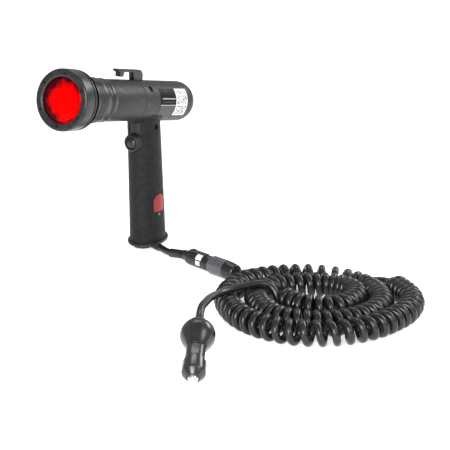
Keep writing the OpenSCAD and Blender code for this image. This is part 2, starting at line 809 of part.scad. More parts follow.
// The bulge is a raised cosine on a cylinder.
bulge_steps = 16;
bulge_len = 38;
barrel_r = 8.9;              // narrow part of the shell, ahead of the bulge
function bulge(z) = plug_r - 0.1 + 5.4 * pow(sin(180 * z / bulge_len), 2)
    - 4.4 * pow(cos(90 * min(z, 12) / 12), 2)
    - (plug_r - 0.1 - barrel_r) * pow(max(0, z - bulge_len / 2) * 2 / bulge_len, 2);

module plug_body(swell = 0) {
    lathe(concat(
        [[0, 0]],
        [for (i = [0 : bulge_steps])
            [bulge(bulge_len * i / bulge_steps) + swell, bulge_len * i / bulge_steps]],
        [[barrel_r, 53.8], [0, 53.8]]
    ));
}

contact_z = [41, 53];

// The contact's slot: z runs along the plug and y outwards.
module contact_slot(s) {
    translate([-2.4, s > 0 ? 6 : -16, contact_z[0] - 0.3])
        cube([4.8, 10, contact_z[1] - contact_z[0] + 0.6]);
}

module plug_half(s) {
    color(black) on_plug() difference() {
        union() {
            plug_body();
            if (s < 0) intersection() {
                plug_body(0.5);
                translate([-40, -5, 5]) cube([40, 10, 32]);
            }
        }
        translate([s > 0 ? -40 : 0, -40, -10]) cube([40, 80, 100]);
        disc(cable_r + 0.1, -1, 14);
        disc(5.4, 13, 60);
        for (t = [-1, 1]) contact_slot(t);
        if (s < 0) translate([-20 - barrel_r + 0.8, -5, 39]) cube([20, 10, 11]);
        at_plug_screw() along_x(-8, 20, 1.3);
        at_plug_screw() along_x(8.6, 20, 2.7);
    }
}

module at_plug_screw() { translate([0, 9.6, 19]) children(); }

module plug_screw() {
    color(metal) on_plug() at_plug_screw() {
        along_x(-6, 9, 1.2);
        along_x(8.7, 10.4, 2.5);
    }
}

module plug_shell_upper() { plug_half(-1); }

module plug_shell_lower() { plug_half(1); }

module plug_grommet() {
    color(soft_black) on_plug() lathe([
        [0, -4], [cable_r + 0.5, -4], [cable_r + 1.3, -0.6], [cable_r + 1.3, 0], [0, 0]
    ]);
}

tip_r = 4.6;

module plug_nose() {
    color(soft_black) on_plug() difference() {
        lathe([
            [0, 53.8], [plug_r, 53.8], [plug_r, 66.4], [plug_r - 0.6, 67.4],
            [tip_r + 1.2, plug_len], [0, plug_len]
        ]);
        disc(5.6, 53, 66.5);
        disc(tip_r + 0.1, 66, plug_len + 1);
    }
}

module plug_tip() {
    cup_z = 72;
    color(metal) on_plug() lathe([
        [3.6, 60], [5.4, 60], [5.4, 66.3], [tip_r, 66.3], [tip_r, 73.4], [tip_r - 0.6, 75],
        [tip_r - 1.8, 76.2], [1.6, 76.8], [0, 77], [0, cup_z], [3.6, cup_z]
    ]);
}

module plug_tip_spring() {
    color(metal) on_plug() translate([0, 0, 56.2]) coil_spring(2.9, 0.35, 12.4, 6);
}

module plug_fuse() {
    color([0.85, 0.88, 0.88]) on_plug() {
        disc(2.8, 27, 55);
        disc(3.2, 26, 31.5);
        disc(3.2, 50.5, 56);
    }
}

// A bowed contact: the outer face stands proud of the plug's side.
module contact(s) {
    color(metal) on_plug() mirror([0, s > 0 ? 0 : 1, 0]) translate([2, 0, 0])
        rotate([0, -90, 0]) linear_extrude(4) contact_profile();
}

module contact_profile() {
    proud = plug_r + 1.3;
    polygon([
        [contact_z[0], 7.4], [contact_z[0] + 1.4, plug_r - 0.8], [contact_z[0] + 4.6, proud],
        [contact_z[1] - 4.6, proud], [contact_z[1] - 1.4, plug_r - 0.8], [contact_z[1], 7.4]
    ]);
}

module plug_contact_left() { contact(1); }

module plug_contact_right() { contact(-1); }

// ---- Nodes --------------------------------------------------------------

bezel_ring();
bezel_screws();
red_lens();
clear_window();
lens_seals();
front_gasket();
clamp_ring();
rear_gasket();
head_shell();
reflector();
led_board();
heat_sink();
tube_o_ring();
barrel_tube();
driver_board();
driver_parts();
led_leads();
housing_left();
housing_right();
housing_screws();
hook();
hook_screws();
label_plate();
label_strip();
tag_plate();
trigger_boot();
trigger_nut();
trigger_button();
trigger_spring();
trigger_switch();
side_button();
side_spring();
side_switch();
indicator_lens();
base_cap();
base_screws();
base_foot();
foot_screw();
cable_gland();
wire_harness();
pigtail_cord();
pigtail_sleeve();
connector_socket();
connector_seal();
connector_plug();
connector_pins();
connector_backshell();
lead_cord();
coil_cord();
tail_cord();
plug_grommet();
plug_shell_upper();
plug_shell_lower();
plug_screw();
plug_nose();
plug_tip();
plug_tip_spring();
plug_fuse();
plug_contact_left();
plug_contact_right();
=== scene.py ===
import math

import bpy
from mathutils import Matrix, Vector


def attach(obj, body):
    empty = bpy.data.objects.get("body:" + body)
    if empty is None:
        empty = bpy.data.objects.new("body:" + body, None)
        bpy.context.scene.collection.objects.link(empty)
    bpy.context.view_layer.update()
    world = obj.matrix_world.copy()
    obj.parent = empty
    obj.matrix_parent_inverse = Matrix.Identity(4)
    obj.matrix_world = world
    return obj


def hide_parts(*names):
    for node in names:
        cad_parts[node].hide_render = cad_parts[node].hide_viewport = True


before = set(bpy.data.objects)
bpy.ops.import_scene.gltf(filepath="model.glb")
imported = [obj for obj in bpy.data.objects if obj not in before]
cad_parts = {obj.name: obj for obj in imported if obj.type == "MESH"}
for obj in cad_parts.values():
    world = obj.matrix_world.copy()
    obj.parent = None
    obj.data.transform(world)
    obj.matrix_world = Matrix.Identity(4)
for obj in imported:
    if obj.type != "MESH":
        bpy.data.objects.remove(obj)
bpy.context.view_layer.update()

# All shapes below are in millimetres, in the row frame or in a frame named by a matrix.
MM = 0.001
SCENE = bpy.context.scene


# ---- Camera ----------------------------------------------------------------

CAMERA_PLACE = (809.8, -1203.5, 472.5)
CAMERA_TARGET = (70.7, 49.1, 20.5)
CAMERA_LENS = 109.1


def aim(place, target):
    """A matrix at place whose -Z looks at target."""
    turn = (Vector(target) - Vector(place)).to_track_quat("-Z", "Y")
    return Matrix.Translation(Vector(place) * MM) @ turn.to_matrix().to_4x4()


def make_camera():
    data = bpy.data.cameras.new("camera")
    data.lens = CAMERA_LENS
    data.sensor_width = 36
    data.clip_end = 10
    camera = bpy.data.objects.new("camera", data)
    SCENE.collection.objects.link(camera)
    camera.matrix_world = aim(CAMERA_PLACE, CAMERA_TARGET)
    SCENE.camera = camera


make_camera()


# ---- Materials -------------------------------------------------------------

def node_of(tree, kind, **inputs):
    made = tree.nodes.new(kind)
    for name, value in inputs.items():
        made.inputs[name.replace("_", " ")].default_value = value
    return made


def noise(tree, scale, detail=3.0):
    place = tree.nodes.new("ShaderNodeTexCoord")
    made = node_of(tree, "ShaderNodeTexNoise", Scale=scale, Detail=detail)
    tree.links.new(place.outputs["Object"], made.inputs["Vector"])
    return made.outputs["Fac"]


def ramp(tree, fac, low, high, start=0.3, end=0.7):
    made = tree.nodes.new("ShaderNodeValToRGB")
    for stop, colour, place in zip(made.color_ramp.elements, (low, high), (start, end)):
        stop.color = (*colour, 1)
        stop.position = place
    tree.links.new(fac, made.inputs["Fac"])
    return made.outputs["Color"]


def grey(value):
    return (value, value, value)


def surface(name, colour, rough, metal=0.0, grain=0.0, grain_mm=0.6, shift=0.12, spec=0.5,
            glow=None, clear=0.0, spots=60):
    """A surface whose colour and roughness drift a little, with a fine moulded or ground grain."""
    made = bpy.data.materials.new(name)
    made.use_nodes = True
    tree = made.node_tree
    shader = tree.nodes["Principled BSDF"]
    shader.inputs["Metallic"].default_value = metal
    shader.inputs["Specular IOR Level"].default_value = spec
    shader.inputs["Transmission Weight"].default_value = clear
    low, high = ([c * k for c in colour] for k in (1 - shift, 1 + shift))
    tree.links.new(ramp(tree, noise(tree, spots), low, high), shader.inputs["Base Color"])
    wear = noise(tree, 140)
    tree.links.new(ramp(tree, wear, grey(rough * 0.86), grey(min(1, rough * 1.14))),
                   shader.inputs["Roughness"])
    if grain:
        bump = node_of(tree, "ShaderNodeBump", Strength=grain, Distance=0.0002)
        tree.links.new(noise(tree, 1000 / grain_mm, 2.0), bump.inputs["Height"])
        tree.links.new(bump.outputs["Normal"], shader.inputs["Normal"])
    if glow:
        shader.inputs["Emission Color"].default_value = (*glow[0], 1)
        shader.inputs["Emission Strength"].default_value = glow[1]
    made.diffuse_color = (*colour, 1)
    return made


def maths(tree, operation, first, second):
    made = tree.nodes.new("ShaderNodeMath")
    made.operation = operation
    for socket, value in zip(made.inputs, (first, second)):
        if isinstance(value, float):
            socket.default_value = value
        else:
            tree.links.new(value, socket)
    return made.outputs["Value"]


def lens_surface():
    """Deep red filter glass: a bright pool of light near the middle, dark mottling round it."""
    made = surface("lens", (0.6, 0.0, 0.0), 0.10, spec=0.12, clear=0.15)
    tree = made.node_tree
    shader = tree.nodes["Principled BSDF"]
    place = tree.nodes.new("ShaderNodeTexCoord")
    pool = tree.nodes.new("ShaderNodeVectorMath")
    pool.operation = "DISTANCE"
    pool.inputs[1].default_value = POOL
    tree.links.new(place.outputs["Object"], pool.inputs[0])
    near = maths(tree, "MULTIPLY", pool.outputs["Value"], 22.0)
    mottle = maths(tree, "MULTIPLY", noise(tree, 130, 3.0), 0.42)
    depth = maths(tree, "ADD", near, mottle)
    colour = ramp(tree, depth, (0.9, 0.0, 0.0), (0.03, 0.0, 0.001), 0.36, 0.70)
    tree.links.new(colour, shader.inputs["Base Color"])
    tree.links.new(colour, shader.inputs["Emission Color"])
    shader.inputs["Emission Strength"].default_value = 0.5
    shader.inputs["Specular Tint"].default_value = (1.0, 0.15, 0.12, 1)
    return made


def print_surface():
    """White film with an irregular print of small dark flecks."""
    made = surface("printed", (0.6, 0.6, 0.6), 0.5, shift=0.03)
    tree = made.node_tree
    shader = tree.nodes["Principled BSDF"]
    flecks = ramp(tree, noise(tree, 620, 1.0), (0.62, 0.62, 0.61), (0.035, 0.035, 0.04), 0.49, 0.60)
    tree.links.new(flecks, shader.inputs["Base Color"])
    return made


# Middle of the pool of light on the lens, in metres.
POOL = (0.003, -0.1465, 0.1895)

MATERIALS = {
    "housing": surface("housing", (0.017, 0.0165, 0.018), 0.44, grain=0.6, grain_mm=0.55,
                       shift=0.3, spec=0.27, spots=240),
    "head": surface("head", (0.013, 0.013, 0.0138), 0.30, grain=0.3, grain_mm=0.5, shift=0.35,
                    spec=0.36, spots=160),
    "grip": surface("grip", (0.0105, 0.010, 0.0115), 0.56, grain=0.9, grain_mm=1.0, shift=0.3,
                    spec=0.15, spots=260),
    "plastic": surface("plastic", (0.010, 0.010, 0.011), 0.30, grain=0.12, spec=0.42),
    "grey_plastic": surface("grey_plastic", (0.066, 0.065, 0.072), 0.34, grain=0.15, spec=0.5),
    "gloss": surface("gloss", (0.013, 0.013, 0.014), 0.22, grain=0.08, spec=0.55),
    # Near-black with almost no shine: painted shade, for the shadowed grooves and the flange behind
    # the clamp ring.
    "gap": surface("gap", (0.0012, 0.0012, 0.0013), 0.8, spec=0.03),
    "rubber": surface("rubber", (0.006, 0.006, 0.0065), 0.5, grain=0.1, spec=0.2),
    "boot": surface("boot", (0.0095, 0.0095, 0.010), 0.42, grain=0.2, spec=0.32),
    "jacket": surface("jacket", (0.0085, 0.0085, 0.0095), 0.28, grain=0.1, grain_mm=0.8,
                      spec=0.4),
    "red": surface("red", (0.21, 0.018, 0.015), 0.4, grain=0.2, shift=0.2, spec=0.3),
    "dark_red": surface("dark_red", (0.13, 0.011, 0.009), 0.45, grain=0.2, shift=0.25,
                        spec=0.3),
    "lens": lens_surface(),
    "window": surface("window", (0.95, 0.97, 0.98), 0.03, shift=0.01, clear=1.0),
    "mirror": surface("mirror", (0.86, 0.86, 0.86), 0.12, metal=1.0, grain=1.0, grain_mm=4),
    "steel": surface("steel", (0.56, 0.56, 0.55), 0.28, metal=1.0, grain=0.1),
    "black_steel": surface("black_steel", (0.012, 0.012, 0.012), 0.35, metal=0.3, spec=0.3),
    "nickel": surface("nickel", (0.74, 0.72, 0.66), 0.24, metal=1.0, grain=0.3, grain_mm=1.5),
    "alloy": surface("alloy", (0.55, 0.55, 0.56), 0.4, metal=1.0, grain=0.2),
    "brass": surface("brass", (0.72, 0.52, 0.22), 0.25, metal=1.0),
    "board": surface("board", (0.01, 0.10, 0.04), 0.4),
    "white": surface("white", (0.66, 0.66, 0.65), 0.45, shift=0.03),
    "film_black": surface("film_black", (0.004, 0.004, 0.0048), 0.42, shift=0.1, spec=0.08),
    "film_grey": surface("film_grey", (0.043, 0.043, 0.046), 0.45, shift=0.1, spec=0.3,
                         spots=900),
    "bar_grey": surface("bar_grey", (0.30, 0.30, 0.30), 0.4, shift=0.1, spots=400),
    "printed": print_surface(),
    "lamp": surface("lamp", (0.07, 0.16, 0.10), 0.25, clear=0.3),
    "wire": surface("wire", (0.30, 0.02, 0.02), 0.35),
    "led": surface("led", (0.9, 0.8, 0.3), 0.3, glow=((1.0, 0.9, 0.7), 3.0)),
}


# ---- Mesh tools --------------------------------------------------------------

def settle(obj, nodes, body="light"):
    """obj rides on body and stands for those CAD nodes, which it hides."""
    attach(obj, body)
    if nodes:
        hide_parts(*nodes)
    return obj


def shade(obj, angle=32):
    obj.data.polygons.foreach_set("use_smooth", [True] * len(obj.data.polygons))
    obj.data.set_sharp_from_angle(angle=math.radians(angle))


def add_mesh(name, verts, faces, material, matrix=Matrix(), angle=32):
    mesh = bpy.data.meshes.new(name)
    mesh.from_pydata([(matrix @ Vector(v)) * MM for v in verts], [], faces)
    mesh.validate()
    mesh.materials.append(MATERIALS[material])
    obj = bpy.data.objects.new(name, mesh)
    SCENE.collection.objects.link(obj)
    shade(obj, angle)
    return obj


def soften(points, radius, steps=3):
    """Rounds the corners of a closed outline, apart from those on the axis."""
    made = []
    for i, point in enumerate(points):
        p, a, b = (Vector(q) for q in (point, points[i - 1], points[(i + 1) % len(points)]))
        if abs(p.x) < 1e-6:
            made.append(p)
            continue
        start = p + (a - p).normalized() * min(radius, (a - p).length * 0.45)
        end = p + (b - p).normalized() * min(radius, (b - p).length * 0.45)
        for k in range(steps + 1):
            t = k / steps
            made.append(start * (1 - t) ** 2 + p * 2 * t * (1 - t) + end * t * t)
    return made


def lathe(name, profile, material, matrix=Matrix(), soft=0.3, segments=96):
    """Turns a closed outline of (radius, distance) points about the matrix's Z axis."""
    points = soften(profile, soft) if soft else [Vector(p) for p in profile]
    verts, rings = [], []
    for p in points:
        if p.x < 1e-6:
            rings.append([len(verts)] * segments)
            verts.append((0, 0, p.y))
        else:
            rings.append([len(verts) + k for k in range(segments)])
            verts += [(p.x * math.cos(2 * math.pi * k / segments),
                       p.x * math.sin(2 * math.pi * k / segments), p.y)
                      for k in range(segments)]
    faces = []
    for i, ring in enumerate(rings):
        after = rings[(i + 1) % len(rings)]
        for k in range(segments):
            n = (k + 1) % segments
            face = [ring[k], ring[n], after[n], after[k]]
            face = [v for j, v in enumerate(face) if v != face[j - 1]]
            if len(set(face)) > 2:
                faces.append(face)
    return add_mesh(name, verts, faces, material, matrix)


def loft(name, rings, material, matrix=Matrix(), angle=32):
    """Joins rings of points, which all have one length, and closes both ends."""
    count = len(rings[0])
    verts = [v for ring in rings for v in ring]
    faces = [[i * count + k, i * count + (k + 1) % count, (i + 1) * count + (k + 1) % count,
              (i + 1) * count + k] for i in range(len(rings) - 1) for k in range(count)]
    faces.append(list(range(count))[::-1])
    faces.append([(len(rings) - 1) * count + k for k in range(count)])
    return add_mesh(name, verts, faces, material, matrix, angle)


def bevelled(obj, width):
    """Rounds the sharp edges of a piece."""
    change = obj.modifiers.new("bevel", "BEVEL")
    change.width = width * MM
    change.segments = 3
    change.limit_method = "ANGLE"
    change.angle_limit = math.radians(30)
    return applied(obj)


def applied(obj):
    """The piece with its modifiers made part of its mesh."""
    bpy.context.view_layer.update()
    graph = bpy.context.evaluated_depsgraph_get()
    mesh = bpy.data.meshes.new_from_object(obj.evaluated_get(graph))
    obj.modifiers.clear()
    obj.data = mesh
    shade(obj)
    return obj


def cut(obj, *cutters):
    """Takes the cutters' shapes away from a piece, and then the cutters."""
    for cutter in cutters:
        change = obj.modifiers.new("cut", "BOOLEAN")
        change.operation = "DIFFERENCE"
        change.solver = "EXACT"
        change.object = cutter
    applied(obj)
    for cutter in cutters:
        bpy.data.objects.remove(cutter)
    return obj


def prism(name, outline, low, high, material, matrix=Matrix(), bevel=0.4):
    """An outline in the matrix's X-Y plane, extruded from low to high along its Z."""
    rings = [[(x, y, z) for x, y in outline] for z in (low, high)]
    obj = loft(name, rings, material, matrix)
    return bevelled(obj, bevel) if bevel else obj


def box(name, low, high, material, matrix=Matrix(), bevel=0.3):
    (x0, y0, z0), (x1, y1, z1) = low, high
    outline = [(x0, y0), (x1, y0), (x1, y1), (x0, y1)]
    return prism(name, outline, z0, z1, material, matrix, bevel)


def rod(name, radius, low, high, material, matrix=Matrix(), soft=0.0, segments=48):
    outline = [(0, low), (radius, low), (radius, high), (0, high)]
    return lathe(name, outline, material, matrix, soft, segments)


def joined(name, objs):
    """One object made of several, with their materials."""
    with bpy.context.temp_override(active_object=objs[0], selected_editable_objects=objs):
        bpy.ops.object.join()
    objs[0].name = name
    return objs[0]


# ---- Cords -------------------------------------------------------------------

CABLE_R = 3.7
CURL_R = 8.9
EXIT_TURN = math.radians(-26)
EXIT_DIR = Vector((math.cos(EXIT_TURN), math.sin(EXIT_TURN), 0))
EXIT_POS = Vector((0, -2.4, 4.6))
GLAND_MOUTH = tuple(EXIT_POS + EXIT_DIR * 29)
CONNECTOR_POS = Vector((70, -35.5, 9.9))
CONNECTOR_TURN = math.radians(-16.5)
CONNECTOR_DIR = Vector((math.cos(CONNECTOR_TURN), math.sin(CONNECTOR_TURN), 0))
BACKSHELL_END = 81
PLUG_POS = Vector((219.4, -247.6, 34.8))
PLUG_TURN = math.radians(-63)
PLUG_DROP = math.radians(20.4)
PLUG_DIR = Vector((math.cos(PLUG_DROP) * math.cos(PLUG_TURN),
                   math.cos(PLUG_DROP) * math.sin(PLUG_TURN), -math.sin(PLUG_DROP)))

PIGTAIL = [GLAND_MOUTH, tuple(EXIT_POS + EXIT_DIR * 31), (32, -17.9, 4.5), (36, -19.9, 4.4),
           (41, -22.4, 4.6), (46, -24.8, 5), (54, -28.4, 6.6), (62, -32, 8.3), (69, -35.1, 9.7)]
LEAD = [
    tuple(CONNECTOR_POS + CONNECTOR_DIR * BACKSHELL_END),
    tuple(CONNECTOR_POS + CONNECTOR_DIR * (BACKSHELL_END + 2)), (153.5, -59.3, 10.8),
    (158.5, -57, 11.6), (162.5, -52, 11.8), (165, -45.5, 10.8), (168.5, -39, 9), (174, -34, 7),
    (182, -30.5, 5.4), (192, -27, 4.4), (204, -22.5, 4), (218, -16.5, 4), (234, -10.5, 4),
    (249, -4, 4), (262, 3.5, 4), (273, 8.5, 4.2), (282, 9.5, 5.2), (290, 6, 6.8),
    (295, -0.5, 8.8), (298.2, -7, 11)
]
# Middle line of the curly cord on the floor, with the distance between turns there.
COIL = [
    (302, -15, 8.4), (309, -21, 8.4), (319, -29, 8.6), (326, -35, 9), (333, -43, 9.4),
    (340, -54, 9.6), (344, -67, 9.8), (345.5, -82, 10), (344, -97, 10.4), (337, -126, 11),
    (322, -152, 12.2), (300, -171, 12.9), (274, -181, 12), (246, -181, 11.2),
    (220, -172, 10.8), (197, -155, 10.4), (180, -133, 10), (173, -106, 10.6), (177, -79, 10.6),
    (193, -56, 11), (218, -38, 13), (246, -30, 14), (270, -32, 11), (287, -39, 9),
    (299, -48, 8.6), (309, -59, 8.6), (317, -73, 8.8), (320, -89, 9), (319, -104, 9),
    (315, -118, 9), (308, -130, 9), (299, -141, 9), (288, -149, 9), (276, -154, 9),
    (262, -157, 9), (249, -156, 9), (237, -151, 8.8), (224, -142, 8.6), (212, -129, 8.4),
    (203, -113, 8.2), (202, -98, 8.4), (206, -84, 8.8), (214, -74, 9.2), (226, -64, 9.4),
    (237, -56, 9.2), (249, -50, 8.6), (261, -49, 8), (272, -52, 7.8), (283, -60, 7.8),
    (289, -72, 7.8), (290, -86, 7.8), (287, -99, 8), (280, -108, 8.4), (268, -114, 9),
    (256, -116, 9.2), (245, -114, 9.2), (235, -110, 9.2), (226, -107, 9.2)
]
COIL_Z = 13
TAIL = [
    (213, -112, 27.4), (208, -122, 28.8), (203, -133, 29.4), (198, -145, 29.6),
    (194.5, -157, 30), (193.5, -168, 30.9), (195.5, -182, 33.6), (200, -198, 36.8),
    (205, -213, 38.8), (210.2, -228.5, 39.9), tuple(PLUG_POS - PLUG_DIR * 10),
    tuple(PLUG_POS - PLUG_DIR * 6), tuple(PLUG_POS)
]


def smooth(points, steps=8):
    """A Catmull-Rom curve through the points."""
    points = [Vector(p) for p in points]
    made = []
    for i in range(len(points) - 1):
        a, b, c, d = (points[max(0, min(len(points) - 1, i + k))] for k in (-1, 0, 1, 2))
        for k in range(steps):
            t = k / steps
            made.append(0.5 * (2 * b + (c - a) * t + (2 * a - 5 * b + 4 * c - d) * t * t
                               + (3 * b - a - 3 * c + d) * t ** 3))
    made.append(points[-1])
    return made


def length_of(points):
    return sum((b - a).length for a, b in zip(points, points[1:]))


def curl(centre, pitches, start_turn, end_turn, per_turn=18):
    """Winds the wire right-handed round a dense centre line, from one phase to another in turns."""
    steps = [(b - a).length / pitch for a, b, pitch in zip(centre, centre[1:], pitches)]
    whole = sum(steps)
    goal = math.floor(whole + start_turn - end_turn) + end_turn - start_turn
    phases = [start_turn]
    for step in steps:
        phases.append(phases[-1] + step * goal / whole)
    up = Vector((0, 0, 1))
    made, i = [], 0
    count = int(goal * per_turn)
    for k in range(count + 1):
        want = start_turn + goal * k / count
        while i < len(phases) - 2 and phases[i + 1] < want:
            i += 1
        t = (want - phases[i]) / (phases[i + 1] - phases[i])
        middle = centre[i].lerp(centre[i + 1], min(1, max(0, t)))
        heading = (centre[min(i + 2, len(centre) - 1)] - centre[max(i - 1, 0)]).normalized()
        left = up.cross(heading).normalized()
        radius = CURL_R * math.sin(math.pi / 2 * min(1, want - start_turn))
        angle = 2 * math.pi * want
        made.append(middle + radius * (math.cos(angle) * left + math.sin(angle) * up))
    return made


def evenly(line, step=3):
    """The same line with its points about a step apart."""
    step = length_of(line) / round(length_of(line) / step)
    made, left = [line[0]], step
    for a, b in zip(line, line[1:]):
        run = (b - a).length
        while left < run - 0.01:
            made.append(a.lerp(b, left / run))
            left += step
        left -= run
    return [*made, line[-1]]


def ease(line, join, reach=16):
    """Rounds the wire off where a wound stretch meets a straight one."""
    for span in range(2, reach):
        line[join - span:join + span] = [
            (line[i - 1] + line[i] + line[i + 1]) / 3 for i in range(join - span, join + span)]


def cord_curve(name, points):
    """The cable as a round tube along the points."""
    data = bpy.data.curves.new(name, "CURVE")
    data.dimensions = "3D"
    data.bevel_depth = CABLE_R * MM
    data.bevel_resolution = 4
    data.use_fill_caps = True
    spline = data.splines.new("POLY")
    spline.points.add(len(points) - 1)
    for place, p in zip(spline.points, points):
        place.co = (*(Vector(p) * MM), 1)
    spline.use_smooth = True
    data.materials.append(MATERIALS["jacket"])
    obj = bpy.data.objects.new(name, data)
    SCENE.collection.objects.link(obj)
    return obj


def make_cords():
    pigtail = smooth(PIGTAIL)
    short = cord_curve("pigtail", pigtail)
    settle(short, ["pigtail_cord"])
    dense = smooth(COIL, 48)
    centre = [Vector((p.x, p.y, COIL_Z)) for p in dense]
    wound = curl(centre, [p.z for p in dense], -0.25, 0.2)
    rise = [wound[-1], wound[-1] + Vector((-3, -1.6, 2.6))]
    lead = evenly(smooth(LEAD))
    main = lead[:-1] + wound[1:] + evenly(smooth([*rise, *TAIL]))[1:]
    ease(main, len(lead))
    ease(main, len(lead) + len(wound) - 2)
    long = cord_curve("main_cord", main)
    settle(long, ["lead_cord", "coil_cord", "tail_cord"])
    return short, length_of(pigtail), long, length_of(main)


pigtail, pigtail_run, main_cord, main_run = make_cords()


# ---- Barrel and head ---------------------------------------------------------

# Distances along the barrel, forward from above the origin, and radii about its axis.
AXIS_H = 163.4
FACE_A = 152
BEZEL_BACK = 137.6
CLAMP_FRONT = 135.6
CLAMP_BACK = 133.2
FLANGE_FRONT = 131.8
NECK_BACK = 84
BEZEL_R = 31.2
OPENING_R = 23.1
SEAT_R = 24.8
PITCH = math.radians(10.6)
BARREL = Matrix.Translation((0, 0, AXIS_H)) @ Matrix.Rotation(math.pi / 2 - PITCH, 4, "X")
TUBE_R = 22.1
SEAM_A = 31
DOME_A = -57.5


def on_barrel(x, up, a):
    return BARREL @ Matrix.Translation((x, up, a))


def along_x(y, z, base=Matrix()):
    """A frame at (0, y, z) whose Z runs along +X."""
    return base @ Matrix.Translation((0, y, z)) @ Matrix.Rotation(math.pi / 2, 4, "Y")


def around(angle_deg, radius, a):
    """A frame on the barrel at that angle from +X towards up, whose Z runs along the barrel."""
    t = math.radians(angle_deg)
    return on_barrel(radius * math.cos(t), radius * math.sin(t), a)


def seal_ring(name, outer, low, high):
    # The gaskets are dark rubber, painted darker still as the shade in the grooves between the
    # rings.
    return lathe(name, [(SEAT_R, low), (outer, low), (outer, high), (SEAT_R, high)], "gap",
                 BARREL, 0.1)


def make_head():
    bezel = lathe("bezel", [
        (OPENING_R, FACE_A - 1.6), (OPENING_R, FACE_A - 1.4), (24.7, FACE_A), (29.4, FACE_A),
        (BEZEL_R - 0.5, FACE_A - 0.5), (BEZEL_R, FACE_A - 1.8), (BEZEL_R, BEZEL_BACK),
        (SEAT_R, BEZEL_BACK), (SEAT_R, FACE_A - 1.6)], "head", BARREL, 0.3)
    screw_places = [around(85 + 60 * i, 26.6, 0) for i in range(6)]
    recesses = [rod("recess", 1.8, FACE_A - 1.3, FACE_A + 2, "head", place)
                for place in screw_places]
    settle(cut(bezel, *recesses), ["bezel_ring"])
    heads = []
    for place in screw_places:
        screw = rod("screw", 1.65, FACE_A - 1.7, FACE_A - 0.2, "black_steel", place, 0.25)
        socket = rod("socket", 0.9, FACE_A - 0.9, FACE_A + 1, "black_steel", place, segments=6)
        heads.append(cut(screw, socket))
    settle(joined("bezel_screw_heads", heads), ["bezel_screws"])
    settle(seal_ring("bezel_gasket", 30.5, CLAMP_FRONT, BEZEL_BACK), ["front_gasket"])
    settle(lathe("clamp", [
        (SEAT_R, CLAMP_BACK), (30.7, CLAMP_BACK), (31, CLAMP_BACK + 0.5), (31, CLAMP_FRONT - 0.5),
        (30.7, CLAMP_FRONT), (SEAT_R, CLAMP_FRONT)], "head", BARREL, 0.3),
        ["clamp_ring"])
    settle(seal_ring("flange_gasket", 30.4, FLANGE_FRONT, CLAMP_BACK), ["rear_gasket"])
    rings = []
    for i in range(5):
        a = 116.2 - 2.2 * i
        rings += [(23.75, a), (23.4, a - 0.35), (23.4, a - 0.75), (23.75, a - 1.1)]
    # The flange behind the clamp ring is painted near-black: painted shade, not its own colour.
    flange = lathe("flange", [
        (24.5, FLANGE_FRONT), (30.4, FLANGE_FRONT), (30.7, FLANGE_FRONT - 0.5), (30.7, 130),
        (29.9, 129.2), (24.5, 128.6)], "gap", BARREL, 0.2)
    shell = lathe("head", [
        (24.7, 142), (24.7, 131.6), (25.3, 130), (25.3, 128.5), (24.9, 126.2), (24.4, 124.2),
        (24.2, 117.4), *rings, (23.7, 105),
        (23.8, 102), (23.3, 99.6), (22.3, 97.4), (21.9, 95), (22.2, 92.6), (22.9, 90),
        (23, 87.6), (22.4, 84.8), (TUBE_R, NECK_BACK), (18.7, NECK_BACK), (18.7, 74),
        (16.2, 74), (16.2, 98),
        (19, 98), (19, 114), (22.6, 114), (22.6, 142)], "head", BARREL, 0.3)
    settle(joined("head_piece", [shell, flange]), ["head_shell"])


def make_optics():
    settle(lathe("red_filter", [
        (0, 146.4), (24.6, 146.4), (24.6, 149.4), (22.5, 149.4), (21.5, 150.2), (15, 150.9),
        (7, 151.3), (0, 151.4)], "lens", BARREL, 0.4), ["red_lens"])
    mouth_r, depth, start = 21.6, 26.5, 1.4
    bowl = [(mouth_r * math.sqrt((start + depth * i / 24) / (start + depth)),
             115 + depth * i / 24) for i in range(25)]
    outer = [(r + 0.9, a) for r, a in reversed(bowl)]
    settle(lathe("bowl", bowl + outer, "mirror", BARREL, 0, 72), ["reflector"])


def make_barrel():
    settle(lathe("tube", [
        (18.8, 22), (20.3, 22), (20.3, SEAM_A), (21.7, SEAM_A), (TUBE_R, SEAM_A + 0.6),
        (TUBE_R, NECK_BACK), (18.8, NECK_BACK)],
        "housing", BARREL, 0.25), ["barrel_tube"])
    dome = [(TUBE_R * math.cos(math.radians(t)), DOME_A - TUBE_R * math.sin(math.radians(t)))
            for t in range(0, 90, 6)]
    rear = lathe("rear_barrel", [
        (0, SEAM_A - 9.2), (20.35, SEAM_A - 9.2), (20.35, SEAM_A), (TUBE_R - 0.4, SEAM_A),
        (TUBE_R, SEAM_A - 0.6), *dome, (0, DOME_A - TUBE_R)], "housing", BARREL, 0, 128)
    holes = [rod("hole", 3.1, 11.5, 26, "housing", along_x(up, a, BARREL))
             for a, up in ((17.4, 13.9), (-63, 13.8))]
    return cut(rear, *holes)


# ---- Grip --------------------------------------------------------------------

GRIP_Z0 = 9.2
GRIP_HALF = 19.1
GRIP_TAPER = 0.0149
GRIP_RATIO = 1.16
GRIP_LEAN = 0.03
CAP_HALF = 21.4
CAP_SLOPE = 0.0945
TRIGGER_Z = 122
SIDES = 128


def grip_half(z):
    """Half the grip's width at that height."""
    return GRIP_HALF - GRIP_TAPER * z


def grip_point(k, z):
    """The point on line k of the grip's SIDES lines at that height."""
    t = 2 * math.pi * k / SIDES
    half = grip_half(z)
    return Vector((half * math.cos(t), -GRIP_LEAN * z + half * GRIP_RATIO * math.sin(t), z))


FRONT_Y = grip_point(3 * SIDES // 4, TRIGGER_Z).y


def barrel_distance(p):
    q = BARREL.inverted() @ p
    return math.hypot(q.x, q.y)


def junction(k):
    """The height at which a line up the grip meets the barrel."""
    low, high = 120.0, 160.0
    for _ in range(30):
        middle = (low + high) / 2
        if barrel_distance(grip_point(k, middle)) > TUBE_R:
            low = middle
        else:
            high = middle
    return low


